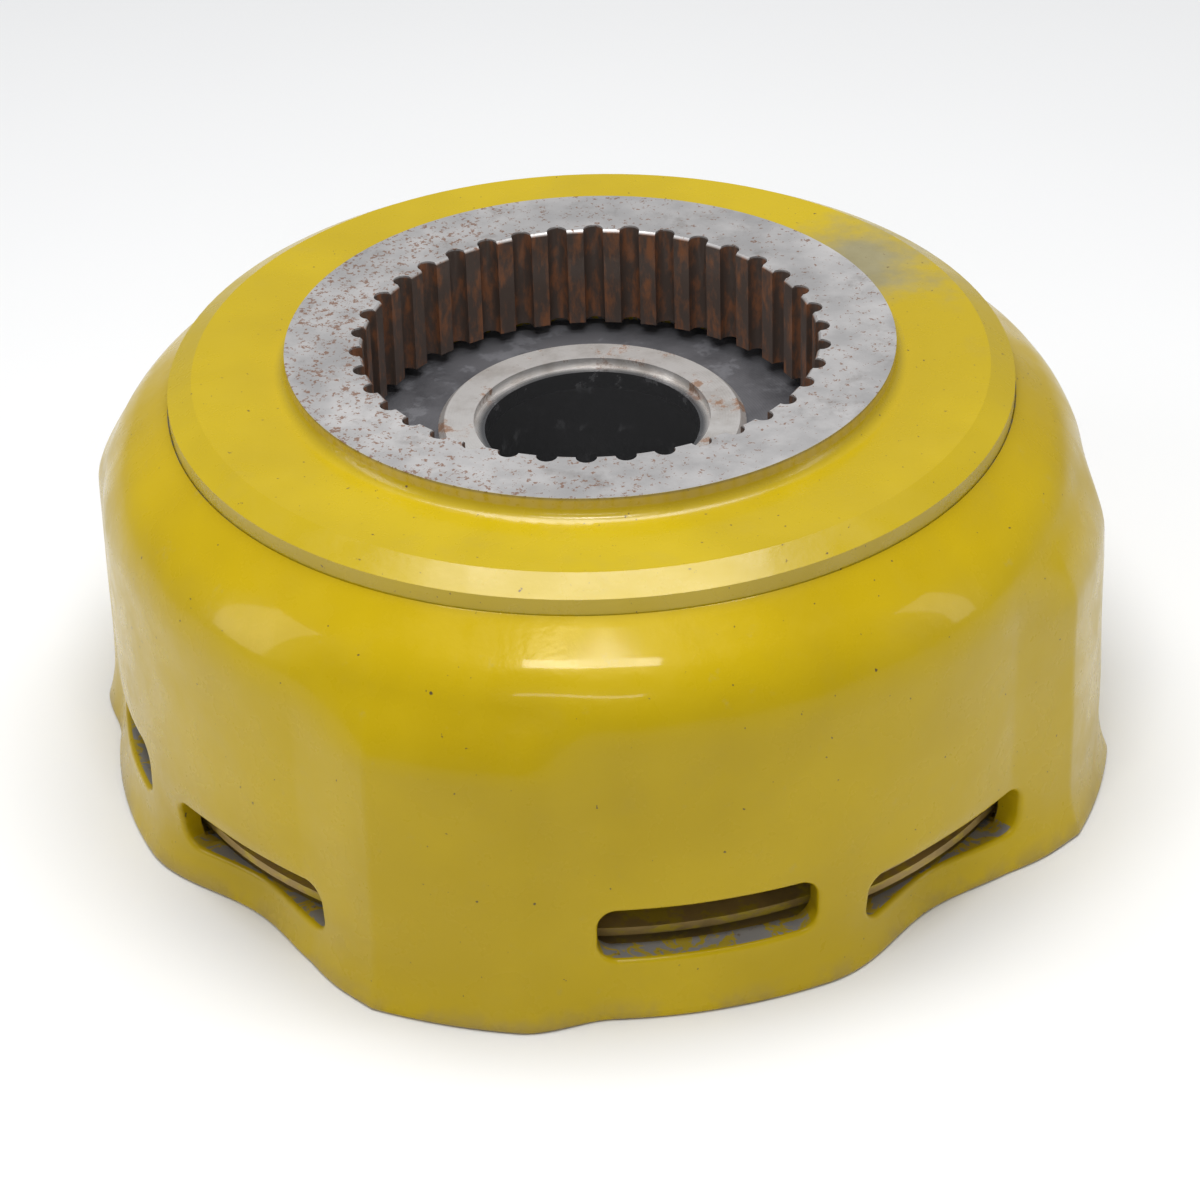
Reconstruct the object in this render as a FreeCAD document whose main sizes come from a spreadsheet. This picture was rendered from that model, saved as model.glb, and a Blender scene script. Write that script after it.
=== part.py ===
import FreeCAD, Part
import Sketcher
import math
import os

# Splined multi-plate slip coupling with a lobed drum.
# Frame: millimetres, +Z up along the coupling's axis, origin at the centre of the face it stands on.
# The drum, its splined drive flange and the lugged plates turn together; the hub and the lined
# plates turn inside them on a ball bearing.

from FreeCAD import Placement, Rotation, Vector

DIMENSIONS = {
    # whole coupling
    "overall_height": 194.0,
    # drum wall: foot, straight draft up to the shoulder, then an arc and a cone up to the rim
    "foot_radius": 212.2,
    "wall_top_radius": 208.3,
    "shoulder_start": 127.0,
    "shoulder_radius": 42.0,
    "shoulder_turn": 53.0,
    "rim_radius": 177.1,
    "drum_top": 171.5,
    "drum_bore_radius": 200.0,
    "drum_ceiling": 154.0,
    "inner_shoulder": 19.0,
    # lobes
    "lobe_count": 4,
    "lobe_centre_angle": -17.5,
    "lobe_half_angle": 8.0,
    "lobe_climb_angle": 10.5,
    "lobe_fall_angle": 10.0,
    "lobe_foot_radius": 222.6,
    "lobe_knee_radius": 219.8,
    "lobe_knee_height": 25.0,
    "lobe_top_radius": 216.5,
    "lobe_top_height": 115.0,
    "lobe_end_height": 145.0,
    # scallops in the lower wall
    "scallop_angle": -47.5,
    "scallop_radius": 130.0,
    "scallop_floor_radius": 198.0,
    "scallop_top": 57.0,
    "scallop_depth": 12.5,
    "scallop_pad_radius": 193.0,
    "scallop_pad_angle": 34.0,
    "pad_overlap": 2.0,
    # windows
    "window_pair_angle": -62.3,
    "window_offset_angle": 16.2,
    "window_width": 90.0,
    "high_window_bottom": 27.0,
    "low_window_bottom": 17.5,
    "window_height": 24.0,
    "window_corner": 8.0,
    "window_cut_start": 178.0,
    "window_cut_length": 80.0,
    # drive flange
    "ring_radius": 127.5,
    "neck_fillet": 5.0,
    "disc_top": 184.6,
    "disc_flat_radius": 166.7,
    "disc_radius": 177.0,
    "disc_chamfer_foot": 178.6,
    "disc_seat": 166.0,
    "spigot_radius": 120.0,
    "spline_count": 38,
    "spline_phase": 3.11,
    "spline_root_radius": 100.5,
    "spline_tip_radius": 95.0,
    "spline_groove_radius": 4.3,
    "spline_bottom": 148.5,
    "spline_lead_in": 1.2,
    "locating_gap": 0.1,
    # screws that hold the drive flange
    "flange_screw_count": 12,
    "flange_screw_circle": 150.0,
    "screw_radius": 5.0,
    "screw_clearance_radius": 5.5,
    "screw_tapped_radius": 5.1,
    "screw_head_radius": 8.0,
    "screw_head_height": 10.0,
    "screw_socket_depth": 5.0,
    "screw_socket_width": 8.0,
    "flange_screw_reach": 9.0,
    # hub
    "hub_bore_radius": 45.5,
    "hub_bottom": 8.0,
    "hub_body_radius": 83.5,
    "hub_groove_count": 12,
    "hub_groove_width": 14.0,
    "hub_groove_root": 77.5,
    "hub_groove_top": 82.0,
    "hub_flange_radius": 108.0,
    "hub_flange_bottom": 129.0,
    "hub_floor": 143.0,
    "boss_radius": 65.0,
    "boss_top": 156.0,
    "boss_chamfer": 2.5,
    "counterbore_radius": 50.0,
    "counterbore_depth": 4.2,
    # bearing
    "bearing_bore_radius": 85.0,
    "bearing_outer_radius": 115.0,
    "bearing_bottom": 101.0,
    "bearing_top": 129.0,
    "ball_circle": 100.0,
    "ball_radius": 8.7,
    "ball_count": 22,
    "race_radius": 9.0,
    "land_half_gap": 5.5,
    "cage_half_width": 3.5,
    "cage_half_height": 10.0,
    "cage_pocket_radius": 8.9,
    "housing_radius": 127.0,
    "housing_bottom": 92.0,
    "bearing_lip_radius": 110.5,
    "circlip_groove_radius": 118.0,
    "circlip_inner_radius": 111.0,
    "circlip_bottom": 97.0,
    "circlip_gap": 14.0,
    # spring pack
    "ring_groove_radius": 80.0,
    "ring_groove_bottom": 88.0,
    "ring_groove_top": 92.0,
    "ring_outer_radius": 92.0,
    "spacer_radius": 91.0,
    "spring_plate_bottom": 80.0,
    "spring_plate_radius": 130.0,
    "spring_bottom": 48.0,
    "spring_height": 8.0,
    "spring_cone": 3.0,
    "spring_inner_radius": 86.0,
    "spring_outer_radius": 124.0,
    # plate pack
    "plate_bore_radius": 84.2,
    "tab_inner_radius": 78.1,
    "tab_width": 13.4,
    "inner_plate_radius": 174.0,
    "lining_inner_radius": 120.0,
    "lining_thickness": 1.0,
    "core_thickness": 2.0,
    "outer_plate_inner_radius": 118.0,
    "outer_plate_radius": 192.0,
    "outer_plate_gap": 0.1,
    "plate_step": 4.0,
    "lug_radius": 211.5,
    "lug_width": 40.0,
    "lug_groove_radius": 212.0,
    "lug_groove_start": 150.0,
    "lug_groove_width": 41.0,
    "lug_groove_top": 66.0,
    "pressure_plate_bottom": 36.1,
    "pressure_plate_radius": 170.0,
    # end plate
    "end_plate_bottom": 1.0,
    "end_plate_bore_radius": 46.5,
    "end_screw_count": 8,
    "end_screw_circle": 62.0,
    "end_screw_head_radius": 9.5,
    "end_screw_head_height": 5.0,
    "end_screw_length": 26.0,
}

INNER_PLATES = 4
OUTER_PLATES = 3
DISC_SPRINGS = 4
OUTLINE_STEP = 2.5
WALL_HEIGHTS = ("0", "lobe_knee_height", "lobe_top_height")
SHOULDER_SECTIONS = 6

document = FreeCAD.newDocument("slip_coupling")
sheet = document.addObject("Spreadsheet::Sheet", "Dimensions")
for row, (alias, value) in enumerate(DIMENSIONS.items(), start=1):
    sheet.set(f"A{row}", alias)
    sheet.set(f"B{row}", str(value))
    sheet.setAlias(f"B{row}", alias)
document.recompute()


def size(alias):
    """Value of one driving dimension, read from the sheet."""
    return float(sheet.get(alias))


def bound(expression):
    """Turns the sheet's aliases in an expression into references to its cells."""
    words = expression.replace("(", " ( ").replace(")", " ) ").split()
    return " ".join(f"Dimensions.{word}" if word in DIMENSIONS else word for word in words)


def origin_plane(body, role):
    return next(item for item in body.Origin.OriginFeatures if item.Role == role)


def new_sketch(body, name, role, height=None):
    """Sketch on one of the body's own origin planes, lifted to a height given as an expression."""
    sketch = body.newObject("Sketcher::SketchObject", name)
    sketch.AttachmentSupport = [(origin_plane(body, role), "")]
    sketch.MapMode = "FlatFace"
    if height:
        sketch.setExpression(".AttachmentOffset.Base.z", bound(height))
    return sketch


def add_outline(sketch, corners):
    """Closed outline of straight sides. Each corner is a pair of expressions, across and up."""
    values = [(evaluate(across), evaluate(up)) for across, up in corners]
    first = sketch.GeometryCount
    count = len(values)
    for index, start in enumerate(values):
        end = values[(index + 1) % count]
        sketch.addGeometry(Part.LineSegment(Vector(*start, 0), Vector(*end, 0)), False)
    for index in range(count):
        following = (index + 1) % count
        sketch.addConstraint(Sketcher.Constraint("Coincident", first + index, 2, first + following, 1))
    for index, (across, up) in enumerate(corners):
        for kind, expression, value in (("DistanceX", across, values[index][0]),
                                        ("DistanceY", up, values[index][1])):
            constraint = sketch.addConstraint(
                Sketcher.Constraint(kind, -1, 1, first + index, 1, value))
            sketch.setExpression(f"Constraints[{constraint}]", bound(expression))


def evaluate(expression):
    """Number that an expression of aliases comes to."""
    return float(sheet.evalExpression(bound(expression).replace("Dimensions.", "")))


def turned(name, corners):
    """Body turned about the axis from a half section whose corners are radius and height."""
    body = document.addObject("PartDesign::Body", name)
    body.Label = name
    sketch = new_sketch(body, f"{name}_section", "XZ_Plane")
    add_outline(sketch, corners)
    turn = body.newObject("PartDesign::Revolution", f"{name}_turn")
    turn.Profile = sketch
    turn.ReferenceAxis = (sketch, ["V_Axis"])
    turn.Angle = 360
    document.recompute()
    return body


def repeat_around(body, feature, count):
    """Repeats one feature of a body around the axis."""
    pattern = body.newObject("PartDesign::PolarPattern", f"{feature.Name}_pattern")
    pattern.Originals = [feature]
    pattern.Axis = (origin_plane(body, "Z_Axis"), [""])
    pattern.Angle = 360
    pattern.setExpression("Occurrences", bound(count))
    body.Tip = pattern
    document.recompute()


def round_circle(body, name, alias, radius, height):
    """Fillet on the circular edge of a turned body that has this radius and height."""
    edges = []
    for index, edge in enumerate(body.Shape.Edges, start=1):
        curve = edge.Curve
        if isinstance(curve, Part.Circle) and abs(curve.Radius - radius) < 0.01:
            if abs(curve.Center.z - height) < 0.01:
                edges.append(f"Edge{index}")
    fillet = body.newObject("PartDesign::Fillet", name)
    fillet.Base = (body.Tip if body.Tip != fillet else fillet.BaseFeature, edges)
    fillet.setExpression("Radius", bound(alias))
    document.recompute()


def ring(name, inner, outer, bottom, top):
    """Plain ring, from four expressions."""
    return turned(name, [(inner, bottom), (outer, bottom), (outer, top), (inner, top)])


def cylinder(name, radius, height, placement=Placement()):
    """Cylinder primitive with its sizes bound to the sheet."""
    item = document.addObject("Part::Cylinder", name)
    item.setExpression("Radius", bound(radius))
    item.setExpression("Height", bound(height))
    item.Placement = placement
    return item


def around_axis(angle, position=Vector(), turn=Rotation()):
    """Placement of something made at the +X side, swung round the axis by an angle."""
    swing = Placement(Vector(), Rotation(Vector(0, 0, 1), angle))
    return swing.multiply(Placement(position, turn))


def fuse(name, items):
    item = document.addObject("Part::MultiFuse", name)
    item.Shapes = items
    document.recompute()
    return item


def cut(name, base, tool):
    item = document.addObject("Part::Cut", name)
    item.Base = base
    item.Tool = tool
    document.recompute()
    return item


def group(name, items):
    """Identical pieces kept apart in one node."""
    item = document.addObject("Part::Compound", name)
    item.Links = items
    item.Label = name
    document.recompute()
    return item


# ---------------------------------------------------------------- drum

def smooth(share):
    return share * share * (3.0 - 2.0 * share)


def between(value, low, high):
    """Share of the way from low to high, held between 0 and 1."""
    return min(1.0, max(0.0, (value - low) / (high - low)))


def shoulder_profile(height):
    """Radius of the round drum at a height: drafted wall, arc, then a cone up to the rim."""
    start = size("shoulder_start")
    wall = size("wall_top_radius")
    if height <= start:
        return size("foot_radius") - (size("foot_radius") - wall) * height / start
    radius = size("shoulder_radius")
    turn = math.radians(size("shoulder_turn"))
    arc_top = start + radius * math.sin(turn)
    if height <= arc_top:
        rise = math.asin((height - start) / radius)
        return wall - radius * (1.0 - math.cos(rise))
    arc_radius = wall - radius * (1.0 - math.cos(turn))
    share = between(height, arc_top, size("drum_top"))
    return arc_radius - (arc_radius - size("rim_radius")) * share


def lobe_profile(height):
    """Radius of a lobe's face at a height, before its top rounds in to the drum."""
    knee = size("lobe_knee_height")
    if height <= knee:
        share = between(height, 0.0, knee)
        return size("lobe_foot_radius") - (size("lobe_foot_radius") - size("lobe_knee_radius")) * share
    share = (height - knee) / (size("lobe_top_height") - knee)
    return size("lobe_knee_radius") - (size("lobe_knee_radius") - size("lobe_top_radius")) * share


def lobe_share(angle):
    """How much of a lobe stands out at an angle: a straight climb, a flat crown and a soft fall."""
    pitch = 360.0 / size("lobe_count")
    climb = size("lobe_climb_angle")
    crown = 2.0 * size("lobe_half_angle")
    past = (angle - size("lobe_centre_angle") + size("lobe_half_angle") + climb) % pitch
    if past <= climb:
        return (past / climb) ** 1.3
    if past <= climb + crown:
        return 1.0
    return 1.0 - smooth(between(past, climb + crown, climb + crown + size("lobe_fall_angle")))


def wall_radius(angle, height):
    """Outer radius of the drum's wall at an angle about the axis and a height."""
    drum = shoulder_profile(height)
    fade = 1.0 - smooth(between(height, size("lobe_top_height"), size("lobe_end_height")))
    return drum + lobe_share(angle) * max(0.0, lobe_profile(height) - drum) * fade


def wall_outline(height):
    """Closed smooth outline of the wall at one height."""
    points = []
    for index in range(int(360.0 / OUTLINE_STEP)):
        radius = wall_radius(index * OUTLINE_STEP, height)
        turn = math.radians(index * OUTLINE_STEP)
        points.append(Vector(radius * math.cos(turn), radius * math.sin(turn), height))
    outline = Part.BSplineCurve()
    outline.interpolate(Points=points, PeriodicFlag=True)
    return Part.Wire(outline.toShape())


def drum_blank():
    """Solid drum outline: the drafted wall, and above it the lobes' tops and the shoulder."""
    wall = Part.makeLoft([wall_outline(evaluate(height)) for height in WALL_HEIGHTS], True, True)
    low, high = size("lobe_top_height"), size("shoulder_start")
    heights = [low, low + (high - low) / 2.0]
    for index in range(SHOULDER_SECTIONS + 1):
        turn = math.radians(size("shoulder_turn")) * index / SHOULDER_SECTIONS
        heights.append(high + size("shoulder_radius") * math.sin(turn))
    arc_top = heights[-1]
    cap = Part.makeLoft([wall_outline(height) for height in heights], True, False)
    rim = Part.makeLoft([wall_outline(arc_top), wall_outline(size("drum_top"))], True, True)
    blank = document.addObject("Part::Feature", "drum_blank")
    blank.Shape = wall.fuse([cap, rim])
    return blank


def drum_void():
    """Everything turned out of the drum: plate space, bearing seat, flange opening and disc seat."""
    return turned("drum_void", [
        ("0", "0 - 1"),
        ("drum_bore_radius", "0 - 1"),
        ("drum_bore_radius", "drum_ceiling - inner_shoulder"),
        ("drum_bore_radius - inner_shoulder", "drum_ceiling"),
        ("housing_radius", "drum_ceiling"),
        ("housing_radius", "housing_bottom"),
        ("bearing_outer_radius", "housing_bottom"),
        ("bearing_outer_radius", "circlip_bottom"),
        ("circlip_groove_radius", "circlip_bottom"),
        ("circlip_groove_radius", "bearing_bottom"),
        ("bearing_outer_radius", "bearing_bottom"),
        ("bearing_outer_radius", "bearing_top"),
        ("bearing_lip_radius", "bearing_top"),
        ("bearing_lip_radius", "hub_floor"),
        ("spigot_radius + locating_gap", "spline_bottom - 2"),
        ("spigot_radius + locating_gap", "disc_seat"),
        ("disc_radius + locating_gap", "disc_seat"),
        ("disc_radius + locating_gap", "drum_top + 1"),
        ("0", "drum_top + 1"),
    ])


def scallop_pads():
    """Thickening inside the wall behind each scallop, up to the sill of the window over it."""
    pads = []
    for lobe in range(int(size("lobe_count"))):
        start = size("scallop_angle") - size("scallop_pad_angle") / 2.0 + 90.0 * lobe
        outer = cylinder(f"pad_outer_{lobe}", "drum_bore_radius + pad_overlap", "low_window_bottom",
                         around_axis(start))
        outer.setExpression("Angle", bound("scallop_pad_angle"))
        inner = cylinder(f"pad_inner_{lobe}", "scallop_pad_radius", "low_window_bottom")
        pads.append(cut(f"scallop_pad_{lobe}", outer, inner))
    return pads


def scallop_cutters():
    """Leaning cylinders whose cut is deepest at the drum's foot and runs out at the windows' top."""
    lean = math.atan2(size("scallop_depth"), size("scallop_top"))
    reach = size("scallop_floor_radius") + size("scallop_radius") / math.cos(lean)
    tilt = Rotation(Vector(0, 1, 0), math.degrees(lean))
    drop = tilt.multVec(Vector(0, 0, -size("scallop_radius")))
    cutters = []
    for lobe in range(int(size("lobe_count"))):
        place = around_axis(size("scallop_angle") + 90.0 * lobe, Vector(reach, 0, 0) + drop, tilt)
        cutters.append(cylinder(f"scallop_cutter_{lobe}", "scallop_radius",
                                "2 * scallop_radius + scallop_top", place))
    return cutters


def window_cutters():
    """Rounded slots through the wall: a high one in each plain stretch, a low one over each scallop."""
    cutters = []
    for pair in range(int(size("lobe_count"))):
        for side in (-1, 1):
            bottom = size("high_window_bottom" if side < 0 else "low_window_bottom")
            angle = size("window_pair_angle") + side * size("window_offset_angle") + 90.0 * pair
            name = f"window_{pair}_{'a' if side < 0 else 'b'}"
            block = document.addObject("Part::Box", f"{name}_block")
            block.setExpression("Length", bound("window_cut_length"))
            block.setExpression("Width", bound("window_width"))
            block.setExpression("Height", bound("window_height"))
            block.Placement = around_axis(angle, Vector(
                size("window_cut_start"), -size("window_width") / 2.0, bottom))
            document.recompute()
            rounded = document.addObject("Part::Fillet", name)
            rounded.Base = block
            corners = [index for index, edge in enumerate(block.Shape.Edges, start=1)
                       if abs(edge.Length - size("window_cut_length")) < 0.01]
            rounded.Edges = [(index, size("window_corner"), size("window_corner")) for index in corners]
            cutters.append(rounded)
    return cutters


def lug_grooves():
    """Pockets inside the lobes that drive the lugged plates."""
    grooves = []
    for lobe in range(int(size("lobe_count"))):
        groove = document.addObject("Part::Box", f"lug_groove_{lobe}")
        groove.setExpression("Length", bound("lug_groove_radius - lug_groove_start"))
        groove.setExpression("Width", bound("lug_groove_width"))
        groove.setExpression("Height", bound("lug_groove_top + 1"))
        groove.Placement = around_axis(size("lobe_centre_angle") + 90.0 * lobe,
                                       Vector(size("lug_groove_start"),
                                              -size("lug_groove_width") / 2.0, -1.0))
        grooves.append(groove)
    return grooves


def bolt_circle(prefix, count, circle, radius, height, bottom):
    """Upright cylinders spaced evenly on a circle about the axis."""
    items = []
    number = int(size(count))
    for index in range(number):
        place = around_axis(360.0 * index / number, Vector(size(circle), 0, bottom))
        items.append(cylinder(f"{prefix}_{index}", radius, height, place))
    return items


def make_drum():
    scallops = scallop_cutters()
    holes = bolt_circle("flange_hole", "flange_screw_count", "flange_screw_circle",
                        "screw_clearance_radius", "disc_seat - drum_ceiling + 2",
                        size("drum_ceiling") - 1.0)
    void = fuse("drum_cutters", [drum_void()] + scallops + window_cutters() + lug_grooves() + holes)
    hollow = cut("drum_hollow", drum_blank(), void)
    pads = cut("trimmed_pads", fuse("scallop_pads", scallop_pads()), fuse("pad_cutters", scallops))
    drum = fuse("lobed_drum", [hollow, pads])
    drum.Label = "lobed_drum"
    return drum


# ---------------------------------------------------------------- drive flange

def make_drive_flange():
    """Internally splined ring with the disc that closes the drum's top."""
    body = turned("drive_flange", [
        ("spline_tip_radius", "spline_bottom"),
        ("spigot_radius", "spline_bottom"),
        ("spigot_radius", "disc_seat"),
        ("disc_radius", "disc_seat"),
        ("disc_radius", "disc_chamfer_foot"),
        ("disc_flat_radius", "disc_top"),
        ("ring_radius", "disc_top"),
        ("ring_radius", "overall_height"),
        ("spline_tip_radius + spline_lead_in", "overall_height"),
        ("spline_tip_radius", "overall_height - spline_lead_in"),
    ])
    round_circle(body, "neck_fillet", "neck_fillet", size("ring_radius"), size("disc_top"))
    groove = new_sketch(body, "spline_groove", "XY_Plane", "overall_height + 1")
    groove.setExpression(".AttachmentOffset.Rotation.Angle", bound("spline_phase"))
    centre = size("spline_root_radius") - size("spline_groove_radius")
    half = size("spline_groove_radius")
    inside = size("spline_tip_radius") - 2.0
    groove.addGeometry(Part.LineSegment(Vector(inside, half, 0), Vector(centre, half, 0)), False)
    groove.addGeometry(Part.ArcOfCircle(Part.Circle(Vector(centre, 0, 0), Vector(0, 0, 1), half),
                                        -math.pi / 2.0, math.pi / 2.0), False)
    groove.addGeometry(Part.LineSegment(Vector(centre, -half, 0), Vector(inside, -half, 0)), False)
    groove.addGeometry(Part.LineSegment(Vector(inside, -half, 0), Vector(inside, half, 0)), False)
    groove.addConstraint([
        Sketcher.Constraint("Tangent", 0, 2, 1, 2),
        Sketcher.Constraint("Tangent", 1, 1, 2, 1),
        Sketcher.Constraint("Coincident", 2, 2, 3, 1),
        Sketcher.Constraint("Coincident", 3, 2, 0, 1),
        Sketcher.Constraint("Horizontal", 0),
        Sketcher.Constraint("Vertical", 3),
        Sketcher.Constraint("PointOnObject", 1, 3, -1),
    ])
    for kind, places, value, expression in (
            ("Radius", (1,), half, "spline_groove_radius"),
            ("DistanceX", (-1, 1, 1, 3), centre, "spline_root_radius - spline_groove_radius"),
            ("DistanceX", (-1, 1, 3, 1), inside, "spline_tip_radius - 2")):
        index = groove.addConstraint(Sketcher.Constraint(kind, *places, value))
        groove.setExpression(f"Constraints[{index}]", bound(expression))
    pocket = body.newObject("PartDesign::Pocket", "spline_pocket")
    pocket.Profile = groove
    pocket.Type = "ThroughAll"
    document.recompute()
    repeat_around(body, pocket, "spline_count")
    drill_circle(body, "flange_tapping", "disc_seat", "flange_screw_count", "flange_screw_circle",
                 "screw_tapped_radius", "flange_screw_reach + 1")
    return body


def drill_circle(body, name, face_height, count, circle, radius, depth):
    """Ring of blind round holes drilled upwards from a flat face."""
    sketch = new_sketch(body, f"{name}_sketch", "XY_Plane", face_height)
    place = Vector(size(circle), 0, 0)
    sketch.addGeometry(Part.Circle(place, Vector(0, 0, 1), size(radius)), False)
    sketch.addConstraint(Sketcher.Constraint("PointOnObject", 0, 3, -1))
    for kind, places, expression in (("Radius", (0,), radius), ("DistanceX", (-1, 1, 0, 3), circle)):
        index = sketch.addConstraint(Sketcher.Constraint(kind, *places, size(expression)))
        sketch.setExpression(f"Constraints[{index}]", bound(expression))
    before = body.Shape.Volume
    pocket = body.newObject("PartDesign::Pocket", name)
    pocket.Profile = sketch
    pocket.setExpression("Length", bound(depth))
    pocket.Reversed = True
    document.recompute()
    assert body.Shape.Volume < before - 1.0, name
    repeat_around(body, pocket, count)


def cut_grooves(body, name, count, root, width, top):
    """Straight axial grooves milled into a shaft from its lower end."""
    sketch = new_sketch(body, f"{name}_sketch", "XY_Plane")
    half = f"{width} / 2"
    add_outline(sketch, [(root, f"0 - {half}"), (f"{root} + 20", f"0 - {half}"),
                         (f"{root} + 20", half), (root, half)])
    before = body.Shape.Volume
    pocket = body.newObject("PartDesign::Pocket", name)
    pocket.Profile = sketch
    pocket.setExpression("Length", bound(top))
    pocket.Reversed = True
    document.recompute()
    assert body.Shape.Volume < before - 1.0, name
    repeat_around(body, pocket, count)


def add_tabs(body, name, count, inner, outer, width, bottom, thickness, angle="0"):
    """Flat tabs that stand in or out from a plate's edge."""
    sketch = new_sketch(body, f"{name}_sketch", "XY_Plane", bottom)
    sketch.setExpression(".AttachmentOffset.Rotation.Angle", bound(angle))
    half = f"{width} / 2"
    add_outline(sketch, [(inner, f"0 - {half}"), (outer, f"0 - {half}"), (outer, half), (inner, half)])
    before = body.Shape.Volume
    pad = body.newObject("PartDesign::Pad", name)
    pad.Profile = sketch
    pad.setExpression("Length", bound(thickness))
    document.recompute()
    assert body.Shape.Volume > before + 1.0, name
    repeat_around(body, pad, count)


# ---------------------------------------------------------------- screws

def hex_socket(name, width, depth, placement):
    """Hexagonal prism that a key fits, measured across its flats."""
    prism = document.addObject("Part::Prism", name)
    prism.Polygon = 6
    prism.setExpression("Circumradius", bound(f"({width}) / 3 ^ 0.5"))
    prism.setExpression("Height", bound(depth))
    prism.Placement = placement
    return prism


def make_flange_screws():
    """Socket screws that go up through the drum's top into the drive flange."""
    screws = []
    number = int(size("flange_screw_count"))
    for index in range(number):
        angle = 360.0 * index / number
        place = around_axis(angle, Vector(size("flange_screw_circle"), 0,
                                          size("drum_ceiling") - size("screw_head_height")))
        shank = cylinder(f"flange_shank_{index}", "screw_radius",
                         "screw_head_height + disc_seat - drum_ceiling + flange_screw_reach", place)
        head = cylinder(f"flange_head_{index}", "screw_head_radius", "screw_head_height", place)
        socket = hex_socket(f"flange_socket_{index}", "screw_socket_width", "screw_socket_depth", place)
        blank = fuse(f"flange_blank_{index}", [shank, head])
        screws.append(cut(f"flange_screw_{index}", blank, socket))
    return group("flange_screws", screws)


def make_end_screws():
    """Countersunk screws that hold the end plate on the hub's lower face."""
    screws = []
    number = int(size("end_screw_count"))
    for index in range(number):
        angle = 360.0 * index / number
        place = around_axis(angle, Vector(size("end_screw_circle"), 0, size("end_plate_bottom")))
        shank = cylinder(f"end_shank_{index}", "screw_radius", "end_screw_length", place)
        head = document.addObject("Part::Cone", f"end_head_{index}")
        head.setExpression("Radius1", bound("end_screw_head_radius"))
        head.setExpression("Radius2", bound("end_screw_head_radius - end_screw_head_height"))
        head.setExpression("Height", bound("end_screw_head_height"))
        head.Placement = place
        socket = hex_socket(f"end_socket_{index}", "screw_socket_width - 2", "screw_socket_depth - 1", place)
        blank = fuse(f"end_blank_{index}", [shank, head])
        screws.append(cut(f"end_screw_{index}", blank, socket))
    return group("end_plate_screws", screws)


# ---------------------------------------------------------------- hub and bearing

def make_hub():
    """Hub with the machine's bore, the grooves for the lined plates and the bearing seat."""
    body = turned("hub", [
        ("hub_bore_radius", "hub_bottom"),
        ("hub_body_radius", "hub_bottom"),
        ("hub_body_radius", "ring_groove_bottom"),
        ("ring_groove_radius", "ring_groove_bottom"),
        ("ring_groove_radius", "ring_groove_top"),
        ("bearing_bore_radius", "ring_groove_top"),
        ("bearing_bore_radius", "hub_flange_bottom"),
        ("hub_flange_radius", "hub_flange_bottom"),
        ("hub_flange_radius", "hub_floor"),
        ("boss_radius", "hub_floor"),
        ("boss_radius", "boss_top - boss_chamfer"),
        ("boss_radius - boss_chamfer", "boss_top"),
        ("counterbore_radius", "boss_top"),
        ("counterbore_radius", "boss_top - counterbore_depth"),
        ("hub_bore_radius", "boss_top - counterbore_depth"),
    ])
    cut_grooves(body, "hub_grooves", "hub_groove_count", "hub_groove_root", "hub_groove_width",
                "hub_groove_top")
    drill_circle(body, "hub_tapping", "hub_bottom", "end_screw_count", "end_screw_circle",
                 "screw_tapped_radius", "end_screw_length")
    return body


def cut_race(body):
    """Round-bottomed groove, turned into a bearing ring, that the balls roll in."""
    sketch = new_sketch(body, f"{body.Name}_race", "XZ_Plane")
    middle = "(bearing_bottom + bearing_top) / 2"
    place = Vector(size("ball_circle"), evaluate(middle), 0)
    sketch.addGeometry(Part.Circle(place, Vector(0, 0, 1), size("race_radius")), False)
    for kind, places, expression in (("Radius", (0,), "race_radius"),
                                     ("DistanceX", (-1, 1, 0, 3), "ball_circle"),
                                     ("DistanceY", (-1, 1, 0, 3), middle)):
        index = sketch.addConstraint(Sketcher.Constraint(kind, *places, evaluate(expression)))
        sketch.setExpression(f"Constraints[{index}]", bound(expression))
    before = body.Shape.Volume
    groove = body.newObject("PartDesign::Groove", f"{body.Name}_groove")
    groove.Profile = sketch
    groove.ReferenceAxis = (sketch, ["V_Axis"])
    groove.Angle = 360
    document.recompute()
    assert body.Shape.Volume < before - 1.0, body.Name
    return body


def make_bearing():
    inner_ring = cut_race(ring("bearing_inner_ring", "bearing_bore_radius", "ball_circle - land_half_gap",
                               "bearing_bottom", "bearing_top"))
    outer_ring = cut_race(ring("bearing_outer_ring", "ball_circle + land_half_gap",
                               "bearing_outer_radius", "bearing_bottom", "bearing_top"))
    middle = (size("bearing_bottom") + size("bearing_top")) / 2.0
    number = int(size("ball_count"))
    balls = []
    pockets = []
    for index in range(number):
        angle = 360.0 * index / number
        ball = document.addObject("Part::Sphere", f"ball_{index}")
        ball.setExpression("Radius", bound("ball_radius"))
        ball.Placement = around_axis(angle, Vector(size("ball_circle"), 0, middle))
        balls.append(ball)
        inside = size("ball_circle") - 2.0 * size("cage_half_width")
        outwards = Rotation(Vector(0, 1, 0), 90.0)
        pockets.append(cylinder(f"pocket_{index}", "cage_pocket_radius", "4 * cage_half_width",
                                around_axis(angle, Vector(inside, 0, middle), outwards)))
    band = ring("cage_band", "ball_circle - cage_half_width", "ball_circle + cage_half_width",
                "(bearing_bottom + bearing_top) / 2 - cage_half_height",
                "(bearing_bottom + bearing_top) / 2 + cage_half_height")
    cage = cut("bearing_cage", band, fuse("cage_pockets", pockets))
    return [inner_ring, outer_ring, cage, group("bearing_balls", balls)]


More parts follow.
